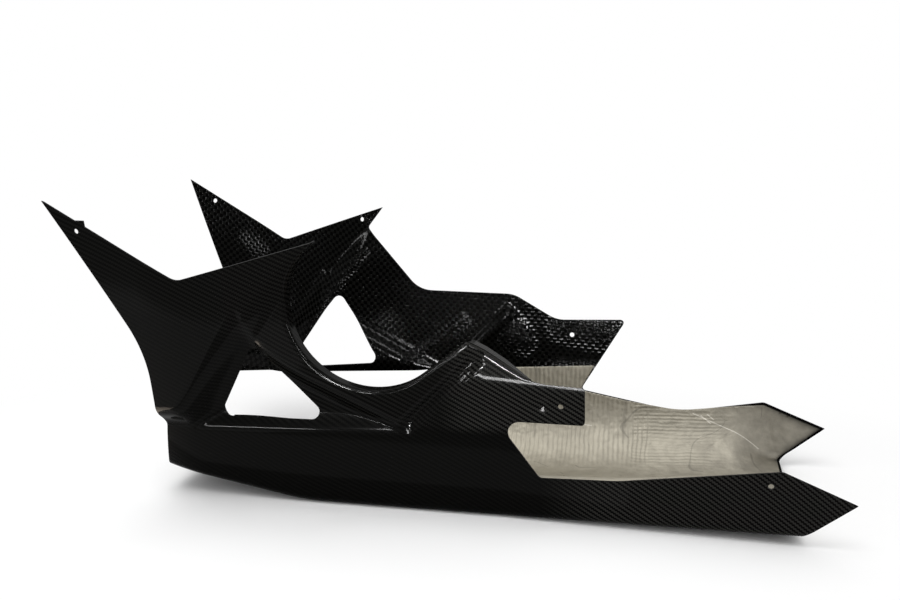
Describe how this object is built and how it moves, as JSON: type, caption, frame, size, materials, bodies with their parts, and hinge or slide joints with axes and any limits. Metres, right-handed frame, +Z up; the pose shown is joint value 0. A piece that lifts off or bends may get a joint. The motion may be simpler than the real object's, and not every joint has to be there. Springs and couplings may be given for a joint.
{
  "type": "motorcycle belly pan",
  "caption": "Thin moulded belly pan that wraps under a motorcycle engine, with raised front panels, triangular windows, a round cut-out, side arms and a foil-lined rear trough.",
  "frame": {"origin": "below the middle of the length and width, on the flat underside of the keel", "axes": "+X to the rear of the bike, +Y to its right, +Z up"},
  "size_m": [0.88, 0.3364, 0.362],
  "materials": {
    "carbon_laminate": "clear-coated carbon twill",
    "heat_foil": "satin, wrinkled"
  },
  "bodies": {
    "root": {"pan_shell": "carbon_laminate", "heat_foil": "heat_foil"}
  },
  "joints": []
}
